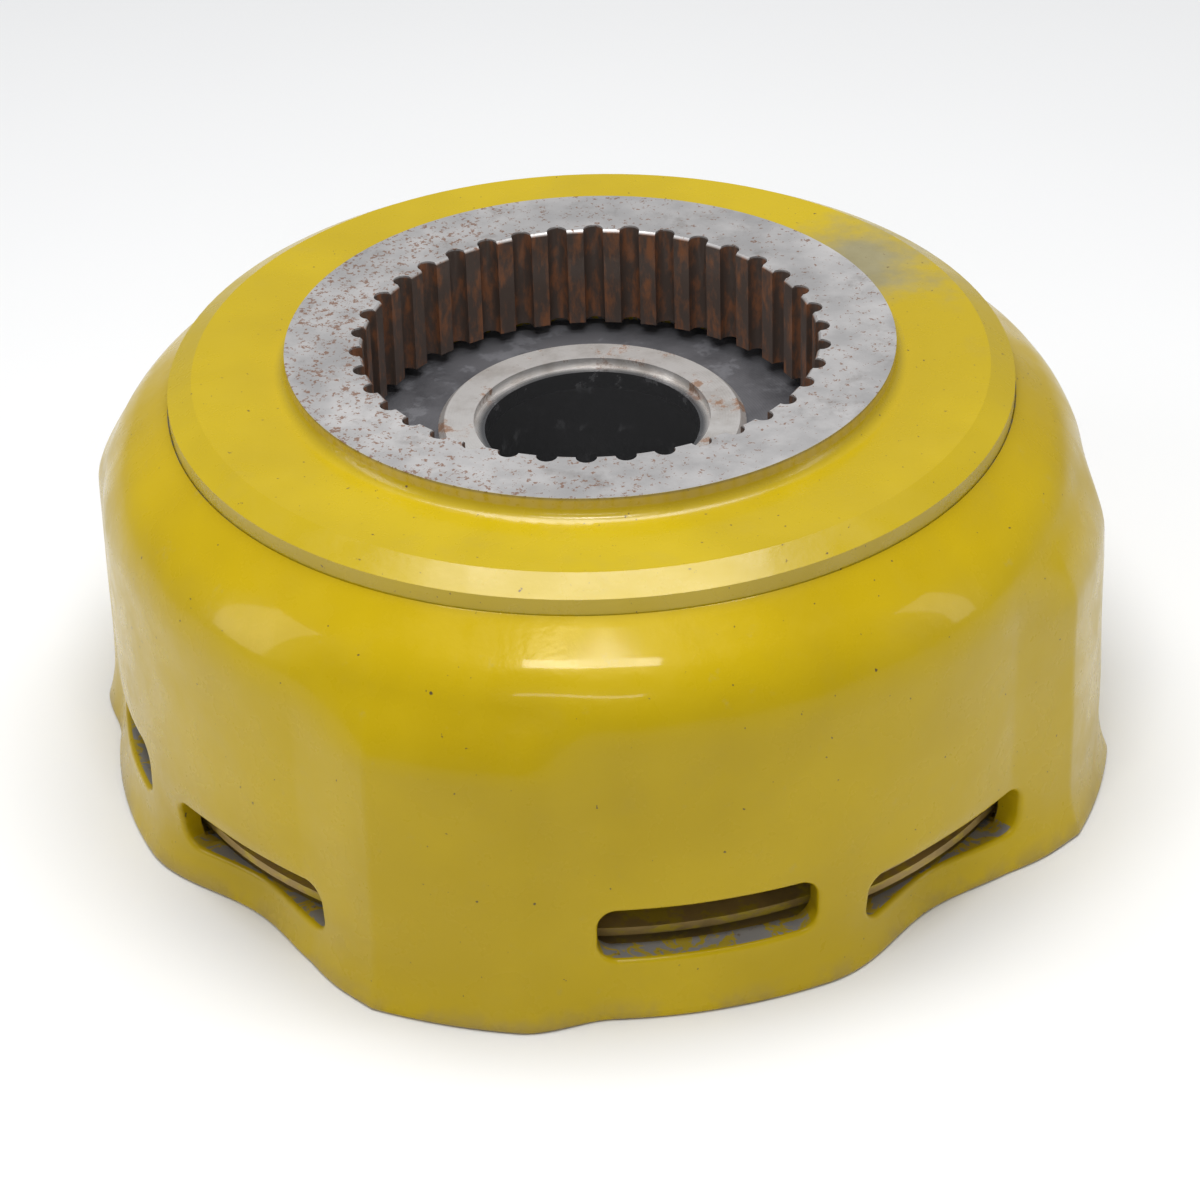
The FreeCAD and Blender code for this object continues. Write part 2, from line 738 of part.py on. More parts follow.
def split_ring(name, inner, outer, bottom, top):
    """Retaining ring with the gap that lets it spring into its groove."""
    band = ring(f"{name}_band", inner, outer, bottom, top)
    gap = document.addObject("Part::Box", f"{name}_gap")
    gap.setExpression("Length", bound("circlip_groove_radius + 10"))
    gap.setExpression("Width", bound("circlip_gap"))
    gap.setExpression("Height", bound(f"{top} - {bottom} + 2"))
    gap.Placement = Placement(Vector(0, -size("circlip_gap") / 2.0, evaluate(bottom) - 1.0), Rotation())
    return cut(name, band, gap)


# ---------------------------------------------------------------- springs and plates

def make_disc_springs():
    """Coned spring washers, set alternately one way up and the other."""
    springs = []
    for index in range(DISC_SPRINGS):
        low = f"spring_bottom + {index} * spring_height"
        inner_low, outer_low = ("spring_cone", "0") if index % 2 == 0 else ("0", "spring_cone")
        rise = "spring_height - spring_cone"
        springs.append(turned(f"disc_spring_{index + 1}", [
            ("spring_inner_radius", f"{low} + {inner_low}"),
            ("spring_outer_radius", f"{low} + {outer_low}"),
            ("spring_outer_radius", f"{low} + {outer_low} + {rise}"),
            ("spring_inner_radius", f"{low} + {inner_low} + {rise}"),
        ]))
    return springs


def add_hub_tabs(body, name, bottom, thickness):
    add_tabs(body, name, "hub_groove_count", "tab_inner_radius", "plate_bore_radius + 4", "tab_width",
             bottom, thickness)


def make_inner_plates():
    """Steel cores that turn with the hub, each with a friction lining on both faces."""
    plates = []
    for index in range(INNER_PLATES):
        low = f"hub_bottom + {index} * 2 * plate_step"
        core_low = f"{low} + lining_thickness"
        core = ring(f"inner_plate_{index + 1}", "plate_bore_radius", "inner_plate_radius",
                    core_low, f"{core_low} + core_thickness")
        add_hub_tabs(core, f"inner_tabs_{index + 1}", core_low, "core_thickness")
        linings = []
        for side, start in (("lower", low), ("upper", f"{core_low} + core_thickness")):
            linings.append(ring(f"lining_{side}_{index + 1}", "lining_inner_radius",
                                "inner_plate_radius", start, f"{start} + lining_thickness"))
        plates += [core, group(f"lining_pair_{index + 1}", linings)]
    return plates


def make_outer_plates():
    """Steel plates whose lugs sit in the drum's lobes."""
    plates = []
    for index in range(OUTER_PLATES):
        low = f"hub_bottom + {2 * index + 1} * plate_step + outer_plate_gap"
        thickness = "plate_step - 2 * outer_plate_gap"
        plate = ring(f"outer_plate_{index + 1}", "outer_plate_inner_radius", "outer_plate_radius",
                     low, f"{low} + {thickness}")
        add_tabs(plate, f"lugs_{index + 1}", "lobe_count", "outer_plate_radius - 6", "lug_radius",
                 "lug_width", low, thickness, "lobe_centre_angle")
        plates.append(plate)
    return plates


def make_pressure_plate():
    """Plate that the springs push down on the pack."""
    body = ring("pressure_plate", "plate_bore_radius", "pressure_plate_radius",
                "pressure_plate_bottom", "spring_bottom")
    add_hub_tabs(body, "pressure_tabs", "pressure_plate_bottom", "spring_bottom - pressure_plate_bottom")
    return body


def make_end_plate():
    """Plate on the hub's lower face that the pack is squeezed against."""
    body = ring("end_plate_blank", "end_plate_bore_radius", "inner_plate_radius",
                "end_plate_bottom", "hub_bottom")
    holes = bolt_circle("end_hole", "end_screw_count", "end_screw_circle", "screw_tapped_radius",
                        "hub_bottom + 1", 0.0)
    sinks = []
    number = int(size("end_screw_count"))
    for index in range(number):
        sink = document.addObject("Part::Cone", f"countersink_{index}")
        sink.setExpression("Radius1", bound("end_screw_head_radius + 0.1"))
        sink.setExpression("Radius2", bound("end_screw_head_radius + 0.1 - end_screw_head_height"))
        sink.setExpression("Height", bound("end_screw_head_height"))
        sink.Placement = around_axis(360.0 * index / number,
                                     Vector(size("end_screw_circle"), 0, size("end_plate_bottom")))
        sinks.append(sink)
    return cut("end_plate", body, fuse("end_plate_cutters", holes + sinks))


# ---------------------------------------------------------------- the coupling

nodes = [make_drum(), make_drive_flange(), make_flange_screws(), make_hub(), make_end_screws()]
nodes += make_bearing()
nodes.append(split_ring("bearing_circlip", "circlip_inner_radius", "circlip_groove_radius",
                        "circlip_bottom", "bearing_bottom"))
nodes.append(split_ring("spring_retaining_ring", "ring_groove_radius", "ring_outer_radius",
                        "ring_groove_bottom", "ring_groove_top"))
nodes.append(ring("bearing_spacer", "bearing_bore_radius", "spacer_radius",
                  "ring_groove_top", "bearing_bottom"))
nodes.append(ring("spring_plate", "plate_bore_radius", "spring_plate_radius",
                  "spring_plate_bottom", "ring_groove_bottom"))
nodes += make_disc_springs()
nodes += make_inner_plates()
nodes += make_outer_plates()
nodes += [make_pressure_plate(), make_end_plate()]

document.recompute()

for item in document.Objects:
    if {"Invalid", "Error"} & set(item.State):
        raise RuntimeError(f"{item.Name} did not build: {item.State}")

os.makedirs("parts", exist_ok=True)
for node in nodes:
    shape = node.Shape
    if shape.isNull() or not shape.isValid() or not shape.Solids:
        raise RuntimeError(f"{node.Name} has no valid solid")
    shape.exportStep(f"parts/{node.Name}.step")
    box = shape.BoundBox
    print(f"{node.Name:24s} solids {len(shape.Solids):3d} volume {shape.Volume:12.1f} "
          f"z {box.ZMin:7.2f} {box.ZMax:7.2f} x {box.XMin:8.2f} {box.XMax:8.2f}")
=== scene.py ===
import math

import bpy
import numpy as np
from mathutils import Matrix, Vector


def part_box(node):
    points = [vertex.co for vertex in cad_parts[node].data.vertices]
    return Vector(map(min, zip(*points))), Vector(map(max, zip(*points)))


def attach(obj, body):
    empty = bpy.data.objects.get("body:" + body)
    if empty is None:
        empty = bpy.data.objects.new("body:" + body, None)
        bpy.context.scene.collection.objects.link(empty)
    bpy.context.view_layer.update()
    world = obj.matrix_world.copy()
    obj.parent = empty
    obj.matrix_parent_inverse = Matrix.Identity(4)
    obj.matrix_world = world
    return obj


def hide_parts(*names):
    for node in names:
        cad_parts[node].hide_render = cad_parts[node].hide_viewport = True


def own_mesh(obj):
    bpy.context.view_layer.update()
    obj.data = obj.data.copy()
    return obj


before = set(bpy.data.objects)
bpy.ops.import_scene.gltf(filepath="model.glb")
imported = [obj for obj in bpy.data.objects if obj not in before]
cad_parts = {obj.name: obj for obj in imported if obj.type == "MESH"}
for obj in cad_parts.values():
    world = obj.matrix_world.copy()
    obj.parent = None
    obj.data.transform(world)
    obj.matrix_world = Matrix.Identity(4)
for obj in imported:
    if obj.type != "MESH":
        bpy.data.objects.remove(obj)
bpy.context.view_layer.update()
MM = 0.001
COLUMNS = 720
STEP = 360.0 / COLUMNS

# The drum, in millimetres and degrees.
WALL_LOW, WALL_TOP = 207.3, 208.0
FLARE, FLARE_HEIGHT = 4.9, 25.0
SHOULDER_START, SHOULDER_RADIUS, SHOULDER_TURN = 127.0, 42.0, math.radians(53.0)
RIM_RADIUS, DRUM_TOP = 177.7, 171.5
LOBE_CENTRE, LOBE_HALF, LOBE_CLIMB, LOBE_FALL = -17.5, 8.0, 10.5, 10.0
LOBE_LOW, LOBE_TOP, LOBE_TOP_HEIGHT, LOBE_END = 217.7, 216.5, 115.0, 145.0
SCALLOP_ANGLE, SCALLOP_HALF, SCALLOP_DEPTH = -47.2, 18.0, 14.2
SCALLOP_FULL, SCALLOP_TOP = 12.0, 52.0
PAD_RADIUS, PAD_HALF, PAD_TOP = 190.5, 17.0, 17.5
BORE, CEILING, INNER_SHOULDER = 195.0, 154.0, 19.0
POCKET_RADIUS, POCKET_HALF, POCKET_TOP = 212.0, 20.5, 66.0
SEAT_RADIUS, SEAT_HEIGHT = 177.1, 166.0
SPIGOT_RADIUS, SPIGOT_FOOT = 120.1, 146.5
LIP_RADIUS, LIP_TOP = 110.5, 143.0
BEARING_RADIUS, BEARING_TOP, BEARING_FOOT = 115.0, 129.0, 101.0
CLIP_RADIUS, CLIP_FOOT = 118.0, 97.0
HOUSING_RADIUS, HOUSING_FOOT = 127.0, 92.0
HIGH_WINDOW, HIGH_BOTTOM = -78.5, 27.0
LOW_WINDOW, LOW_BOTTOM = -46.2, 17.5
WINDOW_HALF, WINDOW_HEIGHT, WINDOW_CORNER, WINDOW_ROUND = 45.0, 24.0, 8.0, 2.2
FOOT_ROUND = 2.0

# The drum's mesh: rows of points every ROW up to ROWS_TOP, and a block of them left out for each window.
ROW, ROWS_TOP = 2, 60
BLOCK_MARGIN, BLOCK_HEIGHT, BLOCK_HALF_ANGLE = 5.0, 36, 15.0
POCKET_COLUMN, BORE_COLUMN = 5.5, 6.0
DRUM_SHARP, LATHE_SHARP = 38.0, 32.0

# The disc springs.
SPRING_INNER, SPRING_OUTER, SPRING_CONE, SPRING_ROUND = 86.0, 124.0, 3.0, 0.8


# ------------------------------------------------------------------ shapes

def smooth(t):
    return t * t * (3.0 - 2.0 * t)


def between(value, low, high):
    return np.clip((np.asarray(value, float) - low) / (high - low), 0.0, 1.0)


def drum_profile(z):
    """Radius of the round drum at a height."""
    z = np.asarray(z, float)
    wall = WALL_LOW + (WALL_TOP - WALL_LOW) * z / SHOULDER_START
    rise = np.arcsin(np.clip((z - SHOULDER_START) / SHOULDER_RADIUS, -1.0, 1.0))
    arc = WALL_TOP - SHOULDER_RADIUS * (1.0 - np.cos(rise))
    arc_top = SHOULDER_START + SHOULDER_RADIUS * math.sin(SHOULDER_TURN)
    arc_radius = WALL_TOP - SHOULDER_RADIUS * (1.0 - math.cos(SHOULDER_TURN))
    cone = arc_radius - (arc_radius - RIM_RADIUS) * between(z, arc_top, DRUM_TOP)
    return np.where(z <= SHOULDER_START, wall, np.where(z <= arc_top, arc, cone))


def lobe_share(angle):
    """How much of a lobe stands out at an angle."""
    past = (np.asarray(angle, float) - LOBE_CENTRE + LOBE_HALF + LOBE_CLIMB) % 90.0
    climb = between(past, 0.0, LOBE_CLIMB) ** 1.3
    crown_end = LOBE_CLIMB + 2.0 * LOBE_HALF
    fall = 1.0 - smooth(between(past, crown_end, crown_end + LOBE_FALL))
    return np.where(past <= LOBE_CLIMB, climb, fall)


def wall_radius(angle, z):
    """Outer radius of the drum at an angle about the axis and a height, with the casting's waves."""
    drum = drum_profile(z)
    crown = LOBE_LOW + (LOBE_TOP - LOBE_LOW) * z / LOBE_TOP_HEIGHT
    fade = 1.0 - smooth(between(z, LOBE_TOP_HEIGHT, LOBE_END))
    lobe = lobe_share(angle) * np.maximum(0.0, crown - drum) * fade
    flare = FLARE * (1.0 - between(z, 0.0, FLARE_HEIGHT)) ** 2
    off = (angle - SCALLOP_ANGLE + 45.0) % 90.0 - 45.0
    across = np.cos(0.5 * math.pi * np.clip(np.abs(off) / SCALLOP_HALF, 0.0, 1.0)) ** 2
    dent = SCALLOP_DEPTH * across * (1.0 - smooth(between(z, SCALLOP_FULL, SCALLOP_TOP)))
    turn = np.radians(angle)
    wave = 0.16 * np.sin(7.0 * turn + 0.045 * z) + 0.12 * np.sin(17.0 * turn - 0.09 * z + 1.3)
    wave = wave + 0.07 * np.sin(31.0 * turn + 0.13 * z + 0.4)
    calm = between(z, 0.0, 12.0) * (1.0 - between(z, 150.0, 171.0))
    return drum + flare + lobe - dent + wave * calm


def inner_radius(angle, z):
    """Bore of the plate space, with the pads behind the scallops."""
    off = np.abs((angle - SCALLOP_ANGLE + 45.0) % 90.0 - 45.0)
    pad = (1.0 - smooth(between(off, PAD_HALF - 1.5, PAD_HALF))) * (z <= PAD_TOP + 0.01)
    return BORE - (BORE - PAD_RADIUS) * pad


def ring_points(radius, z, angles):
    turn = np.radians(angles)
    z = np.broadcast_to(z, turn.shape)
    return np.stack([radius * np.cos(turn), radius * np.sin(turn), z], axis=1)


def make_mesh(name, points, faces, materials, sharp, indices=None):
    mesh = bpy.data.meshes.new(name)
    mesh.from_pydata([tuple(p) for p in np.asarray(points) * MM], [], faces)
    for item in materials:
        mesh.materials.append(item)
    if indices is not None:
        mesh.polygons.foreach_set("material_index", indices)
    mesh.validate()
    mesh.shade_smooth()
    mesh.set_sharp_from_angle(angle=math.radians(sharp))
    piece = bpy.data.objects.new(name, mesh)
    bpy.context.scene.collection.objects.link(piece)
    return piece


def rounded_profile(corners, steps=4):
    """Closed outline through (radius, z, rounding) corners, each corner turned on an arc."""
    points = []
    count = len(corners)
    for index, (r, z, rounding) in enumerate(corners):
        here = np.array([r, z], float)
        before = np.array(corners[index - 1][:2], float) - here
        after = np.array(corners[(index + 1) % count][:2], float) - here
        if rounding <= 0.0:
            points.append(here)
            continue
        before /= np.linalg.norm(before)
        after /= np.linalg.norm(after)
        start, end = here + before * rounding, here + after * rounding
        for step in range(steps + 1):
            t = step / steps
            points.append((1 - t) ** 2 * start + 2 * t * (1 - t) * here + t ** 2 * end)
    return points


def lathe(name, corners, material, columns=240):
    """Closed ring turned from an outline."""
    outline = rounded_profile(corners)
    angles = np.arange(columns) * 360.0 / columns
    points = np.concatenate([ring_points(r, z, angles) for r, z in outline])
    faces = []
    for i in range(len(outline)):
        k = (i + 1) % len(outline)
        for j in range(columns):
            n = (j + 1) % columns
            faces.append((i * columns + j, i * columns + n, k * columns + n, k * columns + j))
    return make_mesh(name, points, faces, [material], LATHE_SHARP)


# ------------------------------------------------------------------ materials

class Nodes:
    """Small helper that builds one material's node tree."""

    def __init__(self, name, **surface):
        self.material = bpy.data.materials.new(name)
        self.material.use_nodes = True
        self.tree = self.material.node_tree
        self.tree.nodes.clear()
        out = self.tree.nodes.new("ShaderNodeOutputMaterial")
        self.bsdf = self.tree.nodes.new("ShaderNodeBsdfPrincipled")
        self.tree.links.new(self.bsdf.outputs[0], out.inputs[0])
        for key, value in surface.items():
            self.bsdf.inputs[key.replace("_", " ")].default_value = value
        self.coords = self.add("ShaderNodeTexCoord").outputs["Object"]
        flat = self.add("ShaderNodeVectorMath", operation="MULTIPLY")
        self.put(flat, 0, self.coords)
        flat.inputs[1].default_value = (1.0, 1.0, 0.0)
        length = self.add("ShaderNodeVectorMath", operation="LENGTH")
        self.put(length, 0, flat.outputs[0])
        self.radius = length.outputs["Value"]
        split = self.add("ShaderNodeSeparateXYZ")
        self.put(split, 0, self.coords)
        self.x, self.y, self.z = split.outputs

    def add(self, kind, **attributes):
        node = self.tree.nodes.new(kind)
        for key, value in attributes.items():
            setattr(node, key, value)
        return node

    def put(self, node, socket, value):
        if hasattr(value, "is_linked"):
            self.tree.links.new(value, node.inputs[socket])
        else:
            node.inputs[socket].default_value = value

    def noise(self, scale, detail=4.0, roughness=0.55, distortion=0.0, stretch=None, offset=0.0):
        place = self.add("ShaderNodeMapping")
        self.put(place, "Vector", self.coords)
        place.inputs["Location"].default_value = (offset, offset * 0.7, offset * 1.3)
        if stretch:
            place.inputs["Scale"].default_value = stretch
        node = self.add("ShaderNodeTexNoise")
        self.put(node, "Vector", place.outputs[0])
        for key, value in (("Scale", scale), ("Detail", detail), ("Roughness", roughness),
                           ("Distortion", distortion)):
            node.inputs[key].default_value = value
        return node.outputs["Fac"]

    def step(self, value, low, high, start=0.0, end=1.0):
        node = self.add("ShaderNodeMapRange", interpolation_type="SMOOTHSTEP")
        for key, item in (("Value", value), ("From Min", low), ("From Max", high),
                          ("To Min", start), ("To Max", end)):
            self.put(node, key, item)
        return node.outputs["Result"]

    def maths(self, operation, a, b=0.0):
        node = self.add("ShaderNodeMath", operation=operation)
        self.put(node, 0, a)
        self.put(node, 1, b)
        return node.outputs[0]

    def mix(self, share, a, b):
        node = self.add("ShaderNodeMix", data_type="RGBA")
        self.put(node, "Factor", share)
        for socket, value in ((6, a), (7, b)):
            if isinstance(value, tuple):
                value = (*value, 1.0)
            self.put(node, socket, value)
        return node.outputs[2]

    def bump(self, height, distance, strength=1.0, below=None):
        node = self.add("ShaderNodeBump")
        self.put(node, "Height", height)
        node.inputs["Distance"].default_value = distance
        node.inputs["Strength"].default_value = strength
        if below is not None:
            self.put(node, "Normal", below)
        return node.outputs[0]

    def finish(self, colour, roughness=None, normal=None, metallic=None):
        self.put(self.bsdf, "Base Color", colour)
        for key, value in (("Roughness", roughness), ("Normal", normal), ("Metallic", metallic)):
            if value is not None:
                self.put(self.bsdf, key, value)
        return self.material


def enamel():
    """Yellow gloss enamel over a casting: slight unevenness, orange peel, stains and a few specks."""
    light, deep = (0.52, 0.365, 0.002), (0.455, 0.315, 0.002)
    m = Nodes("yellow_enamel", Coat_Weight=0.22, Coat_Roughness=0.06, Specular_IOR_Level=0.30,
              Specular_Tint=(1.0, 0.86, 0.45, 1.0))
    colour = m.mix(m.step(m.noise(9.0, 3.0), 0.35, 0.65), deep, light)
    stain = m.step(m.noise(26.0, 6.0, 0.65, offset=3.1), 0.52, 0.74, 0.0, 0.08)
    colour = m.mix(stain, colour, (0.33, 0.25, 0.07))
    dust = m.step(m.noise(90.0, 5.0, 0.7, offset=7.7), 0.62, 0.80, 0.0, 0.25)
    colour = m.mix(dust, colour, (0.40, 0.35, 0.16))
    low = m.step(m.z, 0.012, 0.0, 0.0, 0.5)
    low = m.maths("MULTIPLY", low, m.step(m.noise(40.0, 5.0, 0.6, offset=1.1), 0.40, 0.62))
    colour = m.mix(low, colour, (0.27, 0.20, 0.09))
    speck = m.step(m.noise(300.0, 2.0, 0.5, offset=5.0), 0.745, 0.77)
    colour = m.mix(speck, colour, (0.10, 0.07, 0.03))
    rough = m.step(m.noise(45.0, 4.0, 0.6, offset=2.0), 0.3, 0.75, 0.22, 0.42)
    soft = m.bump(m.noise(22.0, 2.0), 0.0016, 0.35)
    peel = m.bump(m.noise(150.0, 3.0, 0.5), 0.0005, 0.28, soft)
    normal = m.bump(m.noise(620.0, 2.0), 0.00015, 0.25, peel)
    return m.finish(colour, rough, normal)


def bare_steel(name, base=(0.36, 0.35, 0.335), rust=0.5, seed=0.0):
    """Turned steel with smears and rust specks."""
    m = Nodes(name, Metallic=0.85)
    tone = tuple(0.78 * c for c in base)
    colour = m.mix(m.step(m.noise(14.0, 4.0, offset=seed), 0.35, 0.65), base, tone)
    smear = m.step(m.noise(48.0, 6.0, 0.7, offset=seed + 2.0), 0.54, 0.72, 0.0, 0.6)
    colour = m.mix(smear, colour, (0.16, 0.14, 0.12))
    left = m.step(m.x, 0.06, -0.10, 0.0, 0.05)
    speck = m.maths("ADD", m.noise(420.0, 4.0, 0.65, offset=seed + 4.0), left)
    patch = m.noise(30.0, 4.0, 0.6, offset=seed + 9.0)
    speck = m.maths("ADD", speck, m.maths("MULTIPLY", patch, 0.12))
    speck = m.step(speck, 0.655, 0.74, 0.0, rust)
    colour = m.mix(speck, colour, (0.19, 0.075, 0.028))
    rough = m.maths("ADD", m.step(m.noise(60.0, 4.0, offset=seed), 0.3, 0.7, 0.34, 0.52),
                    m.maths("MULTIPLY", speck, 0.3))
    lay = m.noise(1.0, 2.0, 0.5, stretch=(60.0, 60.0, 60.0))
    turned = m.maths("SINE", m.maths("MULTIPLY", m.radius, 7000.0))
    marks = m.maths("ADD", m.maths("MULTIPLY", turned, 0.4), lay)
    normal = m.bump(m.noise(500.0, 3.0), 0.00012, 0.4, m.bump(marks, 0.00005, 0.25))
    return m.finish(colour, rough, normal)


def sill_steel():
    """Bare cast edge of a window with enamel overspray in squiggles."""
    m = Nodes("cast_sill", Metallic=0.25)
    colour = m.mix(m.noise(70.0, 5.0, 0.6, offset=1.0), (0.22, 0.215, 0.22), (0.34, 0.33, 0.32))
    line = m.noise(75.0, 5.0, 0.6, 0.8, offset=4.0)
    line = m.maths("ABSOLUTE", m.maths("SUBTRACT", line, 0.5))
    line = m.step(line, 0.062, 0.025, 0.0, 0.95)
    colour = m.mix(line, colour, (0.50, 0.37, 0.02))
    rust = m.step(m.noise(240.0, 5.0, 0.65, offset=9.0), 0.60, 0.70, 0.0, 0.6)
    colour = m.mix(rust, colour, (0.13, 0.065, 0.03))
    normal = m.bump(m.noise(420.0, 4.0), 0.0002, 0.5)
    return m.finish(colour, m.step(line, 0.0, 1.0, 0.55, 0.35), normal)


yellow = enamel()
steel = bare_steel("ground_steel")
sill = sill_steel()


# ------------------------------------------------------------------ drum

def slot_rays(long_cells, short_cells):
    """Places round a rounded slot, anticlockwise from its lower left corner: centre and direction."""
    a, b = WINDOW_HALF - WINDOW_CORNER, WINDOW_HEIGHT / 2.0 - WINDOW_CORNER
    centres = [(-a, -b), (a, -b), (a, b), (-a, b)]
    quarter = WINDOW_CORNER * math.pi / 4.0
    rays = []
    for side, cells in enumerate((long_cells, short_cells, long_cells, short_cells)):
        one, two = np.array(centres[side]), np.array(centres[(side + 1) % 4])
        run = np.linalg.norm(two - one)
        start = 225.0 + 90.0 * side
        for k in range(cells):
            along = (2.0 * quarter + run) * k / cells
            if along < quarter:
                place, way = one, start + 45.0 * along / quarter
            elif along < quarter + run:
                place, way = one + (two - one) * (along - quarter) / run, start + 45.0
            else:
                place, way = two, start + 45.0 + 45.0 * (along - quarter - run) / quarter
            rays.append((*place, math.radians(way)))
    return np.array(rays)


def on_wall(y, z, centre):
    """Distance of the outer wall along a window's own axis, at (y, z) across it."""
    off = np.degrees(np.arcsin(y / WALL_TOP))
    for _ in range(5):
        radius = wall_radius(centre + off, z)
        off = np.degrees(np.arcsin(np.clip(y / radius, -1.0, 1.0)))
    return wall_radius(centre + off, z) * np.cos(np.radians(off))


def on_bore(y, z, centre):
    """Distance of the bore along a window's own axis, at (y, z) across it."""
    radius = np.full_like(y, BORE)
    for _ in range(3):
        off = np.degrees(np.arcsin(y / radius))
        radius = inner_radius(centre + off, z)
    return np.sqrt(radius ** 2 - y ** 2)


def turned_to(x, y, z, centre):
    """Points given along and across a window's axis, turned to its place on the drum."""
    c, s = math.cos(math.radians(centre)), math.sin(math.radians(centre))
    return np.stack([x * c - y * s, x * s + y * c, z], axis=1)


def build_drum():
    """One closed grid round the drum's section, with a patch round each window, outside to inside."""
    angles = np.arange(COLUMNS) * STEP
    rows, kinds = [], []

    def row(points, kind=0):
        rows.append(points)
        kinds.append(kind)
        return len(rows) - 1

    for k in range(5):
        t = math.radians(90.0 * k / 5)
        radius = wall_radius(angles, FOOT_ROUND) - FOOT_ROUND * (1.0 - math.sin(t))
        row(ring_points(radius, FOOT_ROUND * (1.0 - math.cos(t)), angles))
    outer, inner = {}, {}
    for z in range(ROW, ROWS_TOP + 1, ROW):
        outer[z] = row(ring_points(wall_radius(angles, float(z)), float(z), angles))
    for z in np.linspace(ROWS_TOP, SHOULDER_START, 22)[1:-1]:
        row(ring_points(wall_radius(angles, z), z, angles))
    for turn in np.linspace(0.0, SHOULDER_TURN, 15):
        z = SHOULDER_START + SHOULDER_RADIUS * math.sin(turn)
        row(ring_points(wall_radius(angles, z), z, angles))
    arc_top = SHOULDER_START + SHOULDER_RADIUS * math.sin(SHOULDER_TURN)
    for z in np.linspace(arc_top, DRUM_TOP - 0.5, 5)[1:]:
        row(ring_points(wall_radius(angles, z), z, angles))
    section = [(RIM_RADIUS - 0.2, DRUM_TOP), (SEAT_RADIUS, DRUM_TOP - 0.4), (SEAT_RADIUS, SEAT_HEIGHT),
               (SPIGOT_RADIUS, SEAT_HEIGHT), (SPIGOT_RADIUS, SPIGOT_FOOT), (LIP_RADIUS, LIP_TOP),
               (LIP_RADIUS, BEARING_TOP), (BEARING_RADIUS, BEARING_TOP), (BEARING_RADIUS, BEARING_FOOT),
               (CLIP_RADIUS, BEARING_FOOT), (CLIP_RADIUS, CLIP_FOOT), (BEARING_RADIUS, CLIP_FOOT),
               (BEARING_RADIUS, HOUSING_FOOT + 0.5), (BEARING_RADIUS + 0.5, HOUSING_FOOT),
               (HOUSING_RADIUS - 1.0, HOUSING_FOOT), (HOUSING_RADIUS, HOUSING_FOOT + 1.0),
               (HOUSING_RADIUS, CEILING - 4.0), (HOUSING_RADIUS + 4.0, CEILING),
               (BORE - INNER_SHOULDER, CEILING)]
    for k in range(1, 9):
        t = math.radians(90.0 * k / 8)
        section.append((BORE - INNER_SHOULDER * (1 - math.sin(t)),
                        CEILING - INNER_SHOULDER * (1 - math.cos(t))))
    section += [(BORE, 110.0), (BORE, 85.0)]
    for r, z in section:
        row(ring_points(r, z, angles), 1)
    row(ring_points(BORE, POCKET_TOP, angles), 1)

    off = (angles - LOBE_CENTRE + 45.0) % 90.0 - 45.0
    deep = np.abs(off) <= POCKET_COLUMN
    edge = np.abs(np.abs(off) - BORE_COLUMN) < 0.01
    side_out = math.degrees(math.asin(POCKET_HALF / POCKET_RADIUS))
    side_in = math.degrees(math.asin(POCKET_HALF / BORE))

    def pocket_row(z, grow=0.0):
        radius = inner_radius(angles, z) + grow
        place = angles.copy()
        radius[deep] = POCKET_RADIUS / np.cos(np.radians(off[deep])) + grow
        limit = np.abs(off) == POCKET_COLUMN
        place[limit] += np.sign(off[limit]) * (side_out - POCKET_COLUMN)
        place[edge] += np.sign(off[edge]) * (side_in - BORE_COLUMN)
        height = np.full(COLUMNS, z)
        if z >= POCKET_TOP:
            height[~deep] -= 0.5
        return row(ring_points(radius, height, place), 1)

    pocket_row(POCKET_TOP)
    for z in range(ROWS_TOP, 0, -ROW):
        inner[z] = pocket_row(float(z))
    pocket_row(1.0)
    pocket_row(0.0, 1.0)

    points = np.concatenate(rows)
    total = len(rows)
    holes = []
    for first_centre, bottom in ((HIGH_WINDOW, HIGH_BOTTOM), (LOW_WINDOW, LOW_BOTTOM)):
        for k in range(4):
            centre = first_centre + 90.0 * k
            first = int(round((centre - BLOCK_HALF_ANGLE) / STEP))
            last = int(round((centre + BLOCK_HALF_ANGLE) / STEP))
            low = ROW * int(round((bottom - BLOCK_MARGIN) / ROW))
            holes.append((centre, bottom, first, last, low, low + BLOCK_HEIGHT))
    skip = set()
    for _, _, first, last, low, high in holes:
        for j in range(first, last):
            for z in range(low, high, ROW):
                skip.add((outer[z], j % COLUMNS))
                skip.add((inner[z + ROW], j % COLUMNS))
    faces, indices = [], []
    for i in range(total):
        k = (i + 1) % total
        for j in range(COLUMNS):
            if (i, j) in skip:
                continue
            n = (j + 1) % COLUMNS
            faces.append((i * COLUMNS + j, i * COLUMNS + n, k * COLUMNS + n, k * COLUMNS + j))
            indices.append(kinds[i])
    extra = []
    offset = len(points)
    for centre, bottom, first, last, low, high in holes:
        long_cells, short_cells = last - first, (high - low) // ROW
        loop = [(low, j) for j in range(first, last)]
        loop += [(z, last) for z in range(low, high, ROW)]
        loop += [(high, j) for j in range(last, first, -1)]
        loop += [(z, first) for z in range(high, low, -ROW)]
        count = len(loop)
        outer_loop = [outer[z] * COLUMNS + j % COLUMNS for z, j in loop]
        inner_loop = [inner[z] * COLUMNS + j % COLUMNS for z, j in loop]
        middle = bottom + WINDOW_HEIGHT / 2.0
        rays = slot_rays(long_cells, short_cells)

        def outline(grow):
            reach = WINDOW_CORNER + grow
            across = rays[:, 0] + reach * np.cos(rays[:, 2])
            return across, middle + rays[:, 1] + reach * np.sin(rays[:, 2])

